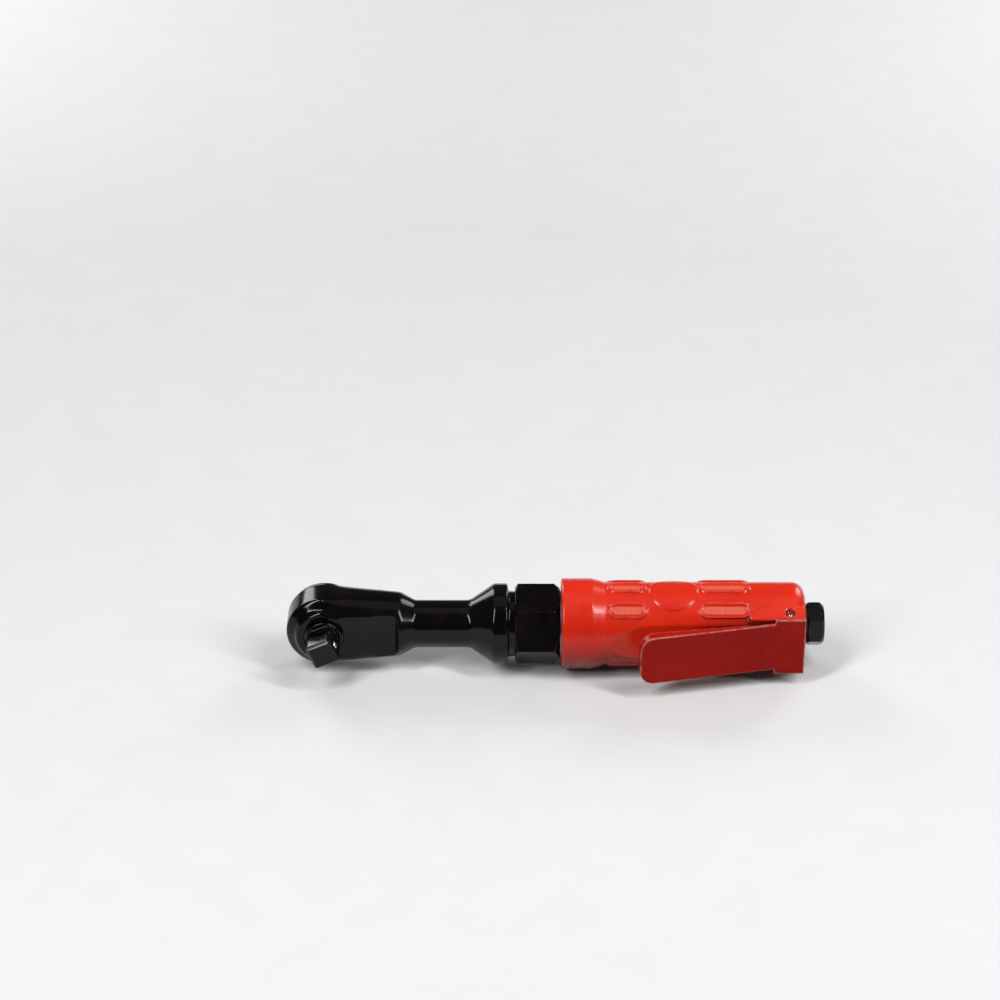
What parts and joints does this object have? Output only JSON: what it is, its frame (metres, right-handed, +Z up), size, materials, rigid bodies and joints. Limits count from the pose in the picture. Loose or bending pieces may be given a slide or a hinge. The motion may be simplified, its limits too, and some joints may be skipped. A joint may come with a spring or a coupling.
{
  "type": "air ratchet",
  "caption": "Air ratchet wrench: square drive on a round head, slim neck, hex clamp nut, red ribbed grip with a throttle lever and a threaded air inlet.",
  "frame": {"origin": "centre of the square drive's shoulder, on the drive's axis, where a socket seats", "axes": "+X along the tool from the head towards the air inlet; the square drive and the lever point to -Y; +Z up as it lies in the picture"},
  "size_m": [0.2551, 0.0563, 0.0432],
  "materials": {
    "black_steel": "satin",
    "bright_steel": "satin",
    "dark_steel": "satin",
    "bronze": "satin",
    "cast_alloy": "satin",
    "red_sleeve": "gloss",
    "red_lever": "gloss",
    "vane_resin": "matte",
    "black_rubber": "matte"
  },
  "bodies": {
    "body": {"ratchet_housing": "black_steel", "head_cover": "black_steel", "cover_ring": "dark_steel", "cover_screws": "dark_steel", "anvil_bush": "dark_steel", "thrust_washer": "bronze", "front_bearing": "bright_steel", "rear_bearing": "bright_steel", "ring_gear": "dark_steel", "front_end_plate": "cast_alloy", "front_rotor_bearing": "bright_steel", "cylinder_liner": "bright_steel", "rear_end_plate": "cast_alloy", "rear_rotor_bearing": "bright_steel", "clamp_nut": "black_steel", "motor_housing": "cast_alloy", "handle_sleeve": "red_sleeve", "lever_pin": "bright_steel", "valve_bush": "bronze", "valve_spring": "dark_steel", "inlet_bushing": "black_steel", "inlet_seal": "black_rubber", "inlet_screen": "bright_steel"},
    "yoke": {"ratchet_yoke": "bright_steel"},
    "anvil": {"ratchet_anvil": "black_steel", "pawl_pin": "dark_steel", "detent_spring": "dark_steel"},
    "selector": {"reverse_knob": "black_steel", "plunger_spring": "dark_steel"},
    "plunger": {"pawl_plunger": "bright_steel"},
    "pawl": {"pawl": "bright_steel"},
    "ball": {"detent_ball": "bright_steel"},
    "rotor": {"rotor": "dark_steel"},
    "vane_a": {"vane_a": "vane_resin"},
    "vane_b": {"vane_b": "vane_resin"},
    "vane_c": {"vane_c": "vane_resin"},
    "vane_d": {"vane_d": "vane_resin"},
    "crank": {"crankshaft": "dark_steel", "planet_pins": "bright_steel"},
    "planet_a": {"planet_gear_a": "dark_steel"},
    "planet_b": {"planet_gear_b": "dark_steel"},
    "planet_c": {"planet_gear_c": "dark_steel"},
    "crank_bush": {"drive_bush": "bronze"},
    "lever": {"throttle_lever": "red_lever"},
    "valve": {"throttle_valve": "bright_steel"}
  },
  "joints": [
    {"name": "yoke_rock", "type": "hinge", "parent": "body", "child": "yoke", "pos_m": [0, 0.0142, 0], "axis": [0, 1, 0], "range_deg": [-3.1, 3.1]},
    {"name": "anvil_turn", "type": "hinge", "parent": "body", "child": "anvil", "pos_m": [0, 0.0142, 0], "axis": [0, 1, 0], "continuous": true},
    {"name": "selector_turn", "type": "hinge", "parent": "anvil", "child": "selector", "pos_m": [0, 0.0142, 0], "axis": [0, 1, 0], "range_deg": [-30, 30]},
    {"name": "pawl_rock", "type": "hinge", "parent": "anvil", "child": "pawl", "pos_m": [-0.007, 0.0142, 0], "axis": [0, 1, 0], "range_deg": [-10, 10]},
    {"name": "plunger_press", "type": "slide", "parent": "selector", "child": "plunger", "axis": [1, 0, 0], "range_m": [0, 0.0004], "stiffness_N_per_m": 200, "deforming": ["plunger_spring"]},
    {"name": "ball_press", "type": "slide", "parent": "anvil", "child": "ball", "axis": [-0.9205, 0, -0.3907], "range_m": [0, 0.00065], "stiffness_N_per_m": 300, "deforming": ["detent_spring"]},
    {"name": "rotor_spin", "type": "hinge", "parent": "body", "child": "rotor", "pos_m": [0.117, 0.0142, 0], "axis": [1, 0, 0], "continuous": true},
    {"name": "vane_a_slide", "type": "slide", "parent": "rotor", "child": "vane_a", "axis": [0, 0.7071, -0.7071], "range_m": [0, 0.00035]},
    {"name": "vane_b_slide", "type": "slide", "parent": "rotor", "child": "vane_b", "axis": [0, 0.7071, 0.7071], "range_m": [0, 0.00035]},
    {"name": "vane_c_slide", "type": "slide", "parent": "rotor", "child": "vane_c", "axis": [0, -0.7071, 0.7071], "range_m": [0, 0.00035]},
    {"name": "vane_d_slide", "type": "slide", "parent": "rotor", "child": "vane_d", "axis": [0, -0.7071, -0.7071], "range_m": [0, 0.00035]},
    {"name": "crank_spin", "type": "hinge", "parent": "body", "child": "crank", "pos_m": [0.05, 0.0142, 0], "axis": [1, 0, 0], "continuous": true},
    {"name": "planet_a_spin", "type": "hinge", "parent": "crank", "child": "planet_a", "pos_m": [0.0793, 0.0142, -0.0078], "axis": [1, 0, 0], "continuous": true},
    {"name": "planet_b_spin", "type": "hinge", "parent": "crank", "child": "planet_b", "pos_m": [0.0793, 0.02096, 0.0039], "axis": [1, 0, 0], "continuous": true},
    {"name": "planet_c_spin", "type": "hinge", "parent": "crank", "child": "planet_c", "pos_m": [0.0793, 0.00745, 0.0039], "axis": [1, 0, 0], "continuous": true},
    {"name": "bush_spin", "type": "hinge", "parent": "crank", "child": "crank_bush", "pos_m": [0.023, 0.0154, 0], "axis": [1, 0, 0], "continuous": true},
    {"name": "lever_press", "type": "hinge", "parent": "body", "child": "lever", "pos_m": [0.2198, -0.0008, 0], "axis": [0, 0, -1], "range_deg": [0, 9], "stiffness_Nm_per_rad": 0.35, "springref_deg": -17.19},
    {"name": "valve_slide", "type": "slide", "parent": "body", "child": "valve", "axis": [0, 1, 0], "range_m": [0, 0.00335], "deforming": ["valve_spring"]}
  ],
  "couplings": [
    {"joint": "pawl_rock", "follows": "selector_turn", "ratio": -0.33333},
    {"joint": "crank_spin", "follows": "rotor_spin", "ratio": 0.25},
    {"joint": "planet_a_spin", "follows": "rotor_spin", "ratio": -0.75},
    {"joint": "planet_b_spin", "follows": "rotor_spin", "ratio": -0.75},
    {"joint": "planet_c_spin", "follows": "rotor_spin", "ratio": -0.75},
    {"joint": "valve_slide", "follows": "lever_press", "m_per_rad": 0.0213}
  ]
}
